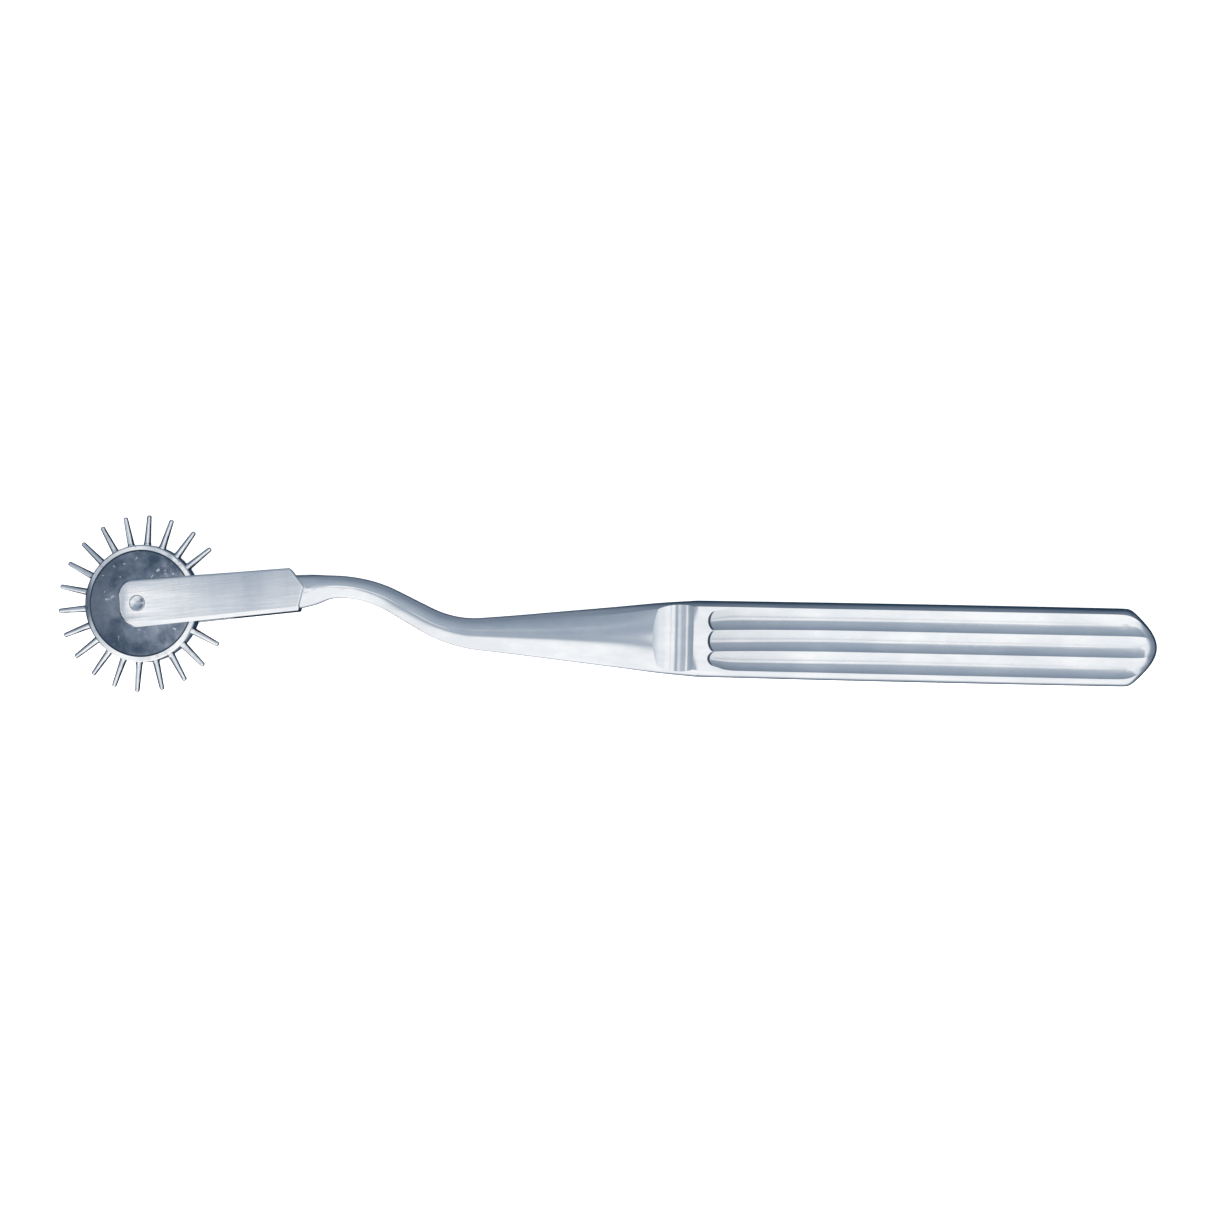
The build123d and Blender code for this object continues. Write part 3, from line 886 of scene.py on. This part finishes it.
def slot_tool(fork, materials):
    """The block that opens the slot between the fork's arms."""
    low, high = -3 * fork.nose, fork.slot_length
    wide, half = 2 * fork.end_width, fork.slot_width / 2
    points = [(x, y, z) for x in (low, high) for y in (-wide, wide) for z in (-half, half)]
    faces = [(0, 1, 3, 2), (4, 6, 7, 5), (0, 4, 5, 1), (2, 3, 7, 6), (0, 2, 6, 4), (1, 5, 7, 3)]
    tool = finish_surface(new_piece("slot_tool", points, faces, materials))
    for polygon in tool.data.polygons:
        polygon.material_index = 1
    return tool


# Turned parts, by geometry nodes

def turned_tree():
    """Geometry nodes, made once, that turn a profile of points (radius, 0, height) about Z."""
    known = bpy.data.node_groups.get("turned_part")
    if known:
        return known
    tree = bpy.data.node_groups.new("turned_part", "GeometryNodeTree")
    face = tree.interface
    face.new_socket("Profile", in_out="INPUT", socket_type="NodeSocketGeometry")
    facets = face.new_socket("Facets", in_out="INPUT", socket_type="NodeSocketInt")
    facets.default_value, facets.min_value = 48, 3
    face.new_socket("Finish", in_out="INPUT", socket_type="NodeSocketMaterial")
    face.new_socket("Part", in_out="OUTPUT", socket_type="NodeSocketGeometry")
    steps = Steps(tree)
    given = steps.add("NodeGroupInput").outputs
    count = steps.add("GeometryNodeAttributeDomainSize", {0: given["Profile"]}).outputs["Point Count"]
    around = steps.math("ADD", given["Facets"], 1.0)
    grid = steps.add("GeometryNodeMeshGrid", {"Vertices X": around, "Vertices Y": count}).outputs["Mesh"]
    index = steps.add("GeometryNodeInputIndex").outputs[0]
    on_profile = steps.math("MODULO", index, count)
    row = steps.math("FLOOR", steps.math("DIVIDE", steps.math("ADD", index, 0.5), count))
    turn = steps.math("MULTIPLY", steps.math("DIVIDE", row, given["Facets"]), 2 * pi)
    sample = steps.add("GeometryNodeSampleIndex", data_type="FLOAT_VECTOR", domain="POINT")
    steps.feed(sample.inputs["Geometry"], given["Profile"])
    steps.feed(sample.inputs["Value"], steps.add("GeometryNodeInputPosition").outputs[0])
    steps.feed(sample.inputs["Index"], on_profile)
    angles = {"Vector": sample.outputs[0], "Angle": turn}
    turned = steps.add("ShaderNodeVectorRotate", angles, rotation_type="Z_AXIS")
    moved = steps.add("GeometryNodeSetPosition", {"Geometry": grid, "Position": turned.outputs[0]}).outputs[0]
    closed = steps.add("GeometryNodeMergeByDistance", {"Geometry": moved, "Distance": 0.001 * MM}).outputs[0]
    real = steps.add("GeometryNodeRealizeInstances", {0: closed}).outputs[0]
    dressed = steps.add("GeometryNodeSetMaterial", {"Geometry": real, "Material": given["Finish"]}).outputs[0]
    steps.add("NodeGroupOutput", {0: dressed})
    return tree


def pin_ring_tree():
    """Geometry nodes that turn one pin and set it round a hub, each a little off its line."""
    tree = bpy.data.node_groups.new("pin_ring", "GeometryNodeTree")
    face = tree.interface
    face.new_socket("Profile", in_out="INPUT", socket_type="NodeSocketGeometry")
    for name, kind in (
        ("Count", "NodeSocketInt"),
        ("Facets", "NodeSocketInt"),
        ("Seed", "NodeSocketInt"),
        ("First angle", "NodeSocketFloat"),
        ("Stem lean", "NodeSocketFloat"),
        ("Wander", "NodeSocketFloat"),
        ("Hub", "NodeSocketVector"),
        ("Finish", "NodeSocketMaterial"),
    ):
        face.new_socket(name, in_out="INPUT", socket_type=kind)
    face.new_socket("Ring", in_out="OUTPUT", socket_type="NodeSocketGeometry")
    steps = Steps(tree)
    given = steps.add("NodeGroupInput").outputs
    pin = steps.add("GeometryNodeGroup", node_tree=turned_tree())
    for name in ("Profile", "Facets", "Finish"):
        steps.feed(pin.inputs[name], given[name])
    places = steps.add("GeometryNodePoints", {"Count": given["Count"], "Position": given["Hub"]}).outputs[0]
    index = steps.add("GeometryNodeInputIndex").outputs[0]
    spacing = steps.math("DIVIDE", 2 * pi, given["Count"])
    heading = steps.math("ADD", given["First angle"], steps.math("MULTIPLY", index, spacing))
    last = steps.math("SUBTRACT", given["Count"], 1.0)
    beside = [steps.math("COMPARE", index, number) for number in (1.0, last)]
    side = steps.math("SUBTRACT", beside[1], beside[0])
    heading = steps.math("ADD", heading, steps.math("MULTIPLY", side, given["Stem lean"]))
    low = steps.math("MULTIPLY", given["Wander"], -1.0)
    leans = []
    for offset in (0, 1):
        seed = steps.math("ADD", given["Seed"], float(offset))
        lean = steps.add("FunctionNodeRandomValue", data_type="FLOAT")
        plain = {socket.name: socket for socket in lean.inputs if socket.enabled}
        steps.feed(plain["Min"], low)
        steps.feed(plain["Max"], given["Wander"])
        steps.feed(plain["Seed"], seed)
        leans.append([socket for socket in lean.outputs if socket.enabled][0])
    heading = steps.math("ADD", heading, leans[0])
    dip = steps.math("ADD", leans[1], pi / 2)
    turn = steps.add("ShaderNodeCombineXYZ", {1: dip, 2: heading}).outputs[0]
    ring = steps.add(
        "GeometryNodeInstanceOnPoints", {"Points": places, "Instance": pin.outputs[0], "Rotation": turn}
    ).outputs[0]
    real = steps.add("GeometryNodeRealizeInstances", {0: ring}).outputs[0]
    dressed = steps.add("GeometryNodeSetMaterial", {"Geometry": real, "Material": given["Finish"]}).outputs[0]
    steps.add("NodeGroupOutput", {0: dressed})
    return tree


def eased_profile(corners, radius, steps=3):
    """Profile points (radius, 0, height) with every inner corner eased by a small radius."""
    points = [Vector(corners[0])]
    for before, corner, after in zip(corners, corners[1:], corners[2:]):
        before, corner, after = Vector(before), Vector(corner), Vector(after)
        back, on = (before - corner), (after - corner)
        reach = min(radius, 0.45 * back.length, 0.45 * on.length)
        start, stop = corner + back.normalized() * reach, corner + on.normalized() * reach
        for step in range(steps + 1):
            t = step / steps
            points.append(start * (1 - t) ** 2 + corner * 2 * t * (1 - t) + stop * t**2)
    points.append(Vector(corners[-1]))
    return [(p.x, 0.0, p.y) for p in points]


def run_tree(name, tree, profile, values):
    """Makes a piece from a profile and a node tree, with the tree's inputs set by name."""
    piece = new_piece(name, profile, [])
    step = piece.modifiers.new("shape", "NODES")
    step.node_group = tree
    for item in tree.interface.items_tree:
        if item.item_type == "SOCKET" and item.in_out == "INPUT" and item.name in values:
            step[item.identifier] = values[item.name]
    settle(piece)
    return piece


def turned_piece(name, corners, easing, facets, material):
    """A closed part turned about Z from (radius, height) corners in millimetres."""
    profile = eased_profile(corners, easing)
    piece = run_tree(name, turned_tree(), profile, {"Facets": facets, "Finish": material})
    return finish_surface(piece)


def rivet_corners(fork, shrink, dimple):
    """Half profile of the rivet, its heads drawn in by shrink and hollowed by dimple."""
    face = fork.thickness / 2
    seat = face - fork.head_depth
    head, stem = fork.head_radius - shrink, fork.rivet_radius - shrink
    corners = [(0, -face + dimple)]
    hollow = head - 0.22
    shares = (0.35, 0.7, 1.0)
    corners += [(hollow * share, -face + dimple * (1 - share**2)) for share in shares]
    corners += [(head - 0.05, -face - 0.02), (head, -face + 0.05), (head, -seat), (stem, -seat)]
    corners += [(stem, seat), (head, seat), (head, face - 0.05), (head - 0.05, face + 0.02)]
    corners += [(hollow * share, face - dimple * (1 - share**2)) for share in reversed(shares)]
    corners.append((0, face - dimple))
    return corners


# Studio light

def tone(red, green, blue):
    """Scene light from a display colour of 0 to 255."""
    shares = [c / 255 for c in (red, green, blue)]
    return opaque([c / 12.92 if c <= 0.04045 else ((c + 0.055) / 1.055) ** 2.4 for c in shares])


def side_profiles():
    """Light seen towards each side: degrees down from overhead, and the colour there."""
    white, cream, mist = tone(253, 254, 255), tone(246, 248, 250), tone(184, 192, 202)
    grey, darker, slate = tone(164, 175, 189), tone(154, 165, 179), tone(118, 131, 148)
    night = tone(27, 50, 68)
    return {
        "left": [
            (0, white), (12.5, white), (15.5, grey), (34, grey), (50, tone(120, 134, 150)),
            (66, tone(64, 82, 100)), (92, night), (180, night),
        ],
        "bands": [
            (0, white), (12.5, white), (15.5, grey), (23, grey), (26, tone(232, 235, 239)),
            (34, tone(225, 229, 234)), (38, mist), (54, mist), (57, white), (61, white),
            (65, tone(166, 176, 189)), (86, darker), (96, slate), (135, night), (180, night),
        ],
        "right": [
            (0, white), (14, white), (24, tone(240, 242, 245)), (42, tone(234, 238, 242)),
            (58, tone(204, 211, 219)), (74, tone(172, 182, 194)), (88, darker),
            (112, tone(132, 145, 161)), (140, slate), (156, night), (180, night),
        ],
        "far": [
            (0, grey), (28, tone(168, 179, 192)), (50, tone(152, 164, 179)),
            (70, tone(136, 149, 165)), (88, tone(122, 136, 152)), (112, tone(124, 136, 152)),
            (130, tone(104, 118, 136)), (144, tone(60, 78, 96)), (154, night), (180, night),
        ],
        "near": [
            (0, white), (90, white), (134, white), (142, cream), (150, darker), (158, slate),
            (166, night), (180, night),
        ],
    }


def studio_light(world):
    """Light by direction: bright overhead and on the near side, grey on the far side, dark below.

    What the metal mirrors is read from a profile for each side, blended between them, with soft
    folds along X. What stands behind the object is plain white.
    """
    world.use_nodes = True
    tree = world.node_tree
    tree.nodes.clear()
    steps = Steps(tree)
    way = steps.add("ShaderNodeTexCoord").outputs["Generated"]
    split = steps.add("ShaderNodeSeparateXYZ", {0: way}).outputs
    along = split["X"]
    height = steps.math("MINIMUM", steps.math("MAXIMUM", split["Z"], -1.0), 1.0)
    polar = steps.math("DIVIDE", steps.math("ARCCOSINE", height), pi)
    shade_of = {
        name: steps.ramp(polar, [(position / 180, colour) for position, colour in stops])
        for name, stops in side_profiles().items()
    }

    folds = steps.add(
        "ShaderNodeTexNoise", {"W": along, "Scale": 55.0, "Detail": 2.0}, noise_dimensions="1D"
    ).outputs["Fac"]
    wave = steps.spread(folds, 0.35, 0.65, -0.38, 0.28)
    gather = steps.product(steps.spread(along, -0.14, -0.06, 1.0, 0.0), steps.spread(along, -0.22, -0.17))
    across = steps.sum(split["Y"], wave, steps.product(gather, 0.4))

    straight = steps.math("ABSOLUTE", split["Y"])
    breadth = steps.spread(split["Y"], -0.16, -0.02, 0.8, 1.3)
    along_power = steps.math("POWER", steps.math("ABSOLUTE", steps.product(along, breadth)), 8.0)
    across_power = steps.math("POWER", straight, 8.0)
    endwise = steps.math("DIVIDE", along_power, steps.sum(along_power, across_power, 1e-12))

    left = steps.blend(steps.spread(straight, 0.05, 0.12), shade_of["bands"], shade_of["left"])
    ends = steps.blend(steps.spread(along, -0.02, 0.02), left, shade_of["right"])
    flanks = steps.blend(steps.spread(across, 0.05, 0.12), shade_of["near"], shade_of["far"])
    seen = steps.blend(endwise, flanks, ends)
    to_camera = steps.add("ShaderNodeLightPath").outputs["Is Camera Ray"]
    colour = steps.blend(to_camera, seen, opaque((1, 1, 1)))
    shine = steps.add("ShaderNodeBackground", {"Color": colour, "Strength": 1.0})
    steps.add("ShaderNodeOutputWorld", {"Surface": shine.outputs[0]})


# Operators

class PINWHEEL_OT_handle(bpy.types.Operator):
    """Sweeps, cuts and joins the one-piece forged handle"""

    bl_idname = "pinwheel.handle"
    bl_label = "Forged handle"

    def execute(self, context):
        scene = context.scene
        grip, shank, fork = scene.pinwheel_grip, scene.pinwheel_shank, scene.pinwheel_fork
        finish = scene.pinwheel_steel
        materials = [satin_steel(finish), brushed_fork_steel(finish)]
        handle = swept_handle(grip, shank, materials)
        finish_surface(handle)
        for side in (1, -1):
            combine(handle, scoop_tool(grip, side, materials), "DIFFERENCE")
        block = place_mesh(fork_block(fork, materials), shank.fork_tilt, HUB)
        combine(handle, block, "UNION")
        slot = place_mesh(slot_tool(fork, materials), shank.fork_tilt, HUB)
        combine(handle, slot, "DIFFERENCE")
        corners = rivet_corners(fork, 0.0, -0.3)
        hole = turned_piece("rivet_hole", corners, 0.02, TURNED_FACETS, materials[1])
        place_mesh(hole, shank.fork_tilt, HUB)
        combine(handle, hole, "DIFFERENCE")
        finish_surface(handle)
        ride_as(handle, "handle", "satin_steel", "forged_handle")
        return {"FINISHED"}


class PINWHEEL_OT_rivet(bpy.types.Operator):
    """Turns the axle rivet with its closed heads"""

    bl_idname = "pinwheel.rivet"
    bl_label = "Axle rivet"

    def execute(self, context):
        scene = context.scene
        material = ground_rivet_steel(scene.pinwheel_steel)
        corners = rivet_corners(scene.pinwheel_fork, 0.09, 0.26)
        rivet = turned_piece("rivet_turned", corners, 0.03, TURNED_FACETS, material)
        place_mesh(rivet, scene.pinwheel_shank.fork_tilt, HUB)
        ride_as(rivet, "handle", "rivet_steel", "axle_rivet")
        return {"FINISHED"}


class PINWHEEL_OT_disc(bpy.types.Operator):
    """Turns the bevelled disc with its bosses and bore"""

    bl_idname = "pinwheel.disc"
    bl_label = "Wheel disc"

    def execute(self, context):
        wheel = context.scene.pinwheel_wheel
        half, outer, bevel = wheel.disc_thickness / 2, wheel.disc_radius, wheel.rim_bevel
        boss = half + wheel.boss_height
        upper = [
            (wheel.bore_radius, 0.0),
            (wheel.bore_radius, boss),
            (wheel.boss_radius, boss),
            (wheel.boss_radius, half),
            (outer - bevel, half),
            (outer, half - bevel),
        ]
        corners = upper + [(r, -z) for r, z in reversed(upper)]
        material = polished_disc_steel(context.scene.pinwheel_steel, wheel)
        disc = turned_piece("disc_turned", corners, 0.06, DISC_FACETS, material)
        place_mesh(disc, 0.0, HUB)
        ride_as(disc, "wheel", "polished_steel", "wheel_disc")
        return {"FINISHED"}


class PINWHEEL_OT_pins(bpy.types.Operator):
    """Turns one tapered pin and sets it round the disc's rim"""

    bl_idname = "pinwheel.pins"
    bl_label = "Ring of pins"

    def execute(self, context):
        wheel = context.scene.pinwheel_wheel
        root, tip = wheel.pin_root_radius, wheel.pin_tip_radius
        reach, rim = wheel.pin_reach, wheel.disc_radius
        corners = [
            (0, rim - 1.4),
            (root, rim - 1.4),
            (root, rim + 0.12),
            (root - 0.08, rim + 0.45),
            (tip + 0.02, reach - 0.3),
            (tip - 0.06, reach - 0.08),
            (0.15, reach - 0.01),
            (0, reach),
        ]
        material = bright_pin_steel(context.scene.pinwheel_steel)
        values = {
            "Count": wheel.pin_count,
            "Facets": PIN_FACETS,
            "Seed": wheel.pin_seed,
            "First angle": radians(wheel.first_pin_angle),
            "Stem lean": radians(wheel.stem_pin_lean),
            "Wander": radians(wheel.pin_wander),
            "Hub": tuple(Vector(HUB) * MM),
            "Finish": material,
        }
        pins = run_tree("pins_set_in_rim", pin_ring_tree(), eased_profile(corners, 0.08), values)
        finish_surface(pins)
        ride_as(pins, "wheel", "pin_steel", *PIN_NODES)
        return {"FINISHED"}


class PINWHEEL_OT_stage(bpy.types.Operator):
    """Sets the pale floor, the soft light and the camera"""

    bl_idname = "pinwheel.stage"
    bl_label = "Floor, light and camera"

    def execute(self, context):
        scene = context.scene
        setting = scene.pinwheel_stage
        reach, level = 3000.0, CAD_BOX[0][2] / MM - 0.05
        signs = ((-1, -1), (1, -1), (1, 1), (-1, 1))
        corners = [(reach * x, reach * y, level) for x, y in signs]
        material = bpy.data.materials.new("pale_floor")
        material.use_nodes = True
        shader = material.node_tree.nodes["Principled BSDF"]
        shader.inputs["Base Color"].default_value = opaque(setting.floor_colour)
        shader.inputs["Roughness"].default_value = 0.9
        shader.inputs["Specular IOR Level"].default_value = 0.0
        shader.inputs["Emission Color"].default_value = opaque(setting.floor_colour)
        shader.inputs["Emission Strength"].default_value = setting.floor_glow
        floor = new_piece("floor", corners, [(0, 1, 2, 3)], [material])
        floor.visible_glossy = False

        scene.world = scene.world or bpy.data.worlds.new("studio")
        studio_light(scene.world)
        lamp = bpy.data.lights.new("soft_lamp", "AREA")
        lamp.energy = setting.lamp_power
        lamp.size = 1.4
        lamp_object = bpy.data.objects.new("soft_lamp", lamp)
        lamp_object.location = (-0.1, -0.35, 1.3)
        lamp_object.rotation_euler = (radians(-15), 0, 0)
        lamp_object.visible_glossy = False
        scene.collection.objects.link(lamp_object)

        turn, tip, roll = (radians(v) for v in (setting.view_turn, setting.view_tip, setting.view_roll))
        outward = Vector((sin(turn) * cos(tip), sin(tip), cos(turn) * cos(tip)))
        right = Vector((cos(turn), 0, -sin(turn)))
        up = outward.cross(right)
        rolled_right = cos(roll) * right + sin(roll) * up
        rolled_up = -sin(roll) * right + cos(roll) * up
        low, high = (Vector(corner) for corner in CAD_BOX)
        aim = (low + high) / 2 + Vector((setting.aim_x, setting.aim_y, 0)) * MM
        place = aim + outward * setting.view_distance * MM
        camera = bpy.data.cameras.new("camera")
        camera.lens = setting.view_lens
        camera.sensor_width = 36.0
        camera.sensor_fit = "HORIZONTAL"
        camera.clip_start, camera.clip_end = 0.01, 20.0
        camera_object = bpy.data.objects.new("camera", camera)
        scene.collection.objects.link(camera_object)
        turned = Matrix((rolled_right, rolled_up, outward)).transposed().to_4x4()
        camera_object.matrix_world = Matrix.Translation(place) @ turned
        scene.camera = camera_object
        scene.view_settings.view_transform = "Standard"
        return {"FINISHED"}


class PINWHEEL_PT_sidebar(bpy.types.Panel):
    """Lists the pieces of the pin wheel and their sizes"""

    bl_idname = "PINWHEEL_PT_sidebar"
    bl_label = "Pin wheel"
    bl_space_type = "VIEW_3D"
    bl_region_type = "UI"
    bl_category = "Pin wheel"

    def draw(self, context):
        for operator in OPERATORS:
            self.layout.operator(operator.bl_idname)
        for name, group in SETTINGS.items():
            box = self.layout.box()
            box.label(text=group.__doc__)
            for key in group.__annotations__:
                box.prop(getattr(context.scene, name), key)


OPERATORS = [PINWHEEL_OT_handle, PINWHEEL_OT_rivet, PINWHEEL_OT_disc, PINWHEEL_OT_pins, PINWHEEL_OT_stage]


def register():
    """Makes the settings, operators and panel known to Blender."""
    for name, group in SETTINGS.items():
        bpy.utils.register_class(group)
        setattr(bpy.types.Scene, name, PointerProperty(type=group))
    for known in OPERATORS + [PINWHEEL_PT_sidebar]:
        bpy.utils.register_class(known)


def unregister():
    """Takes them away again."""
    for known in reversed(OPERATORS + [PINWHEEL_PT_sidebar]):
        bpy.utils.unregister_class(known)
    for name, group in reversed(SETTINGS.items()):
        delattr(bpy.types.Scene, name)
        bpy.utils.unregister_class(group)


def main():
    """Builds every piece in order."""
    register()
    bpy.ops.pinwheel.handle()
    bpy.ops.pinwheel.rivet()
    bpy.ops.pinwheel.disc()
    bpy.ops.pinwheel.pins()
    bpy.ops.pinwheel.stage()


if __name__ == "__main__":
    main()
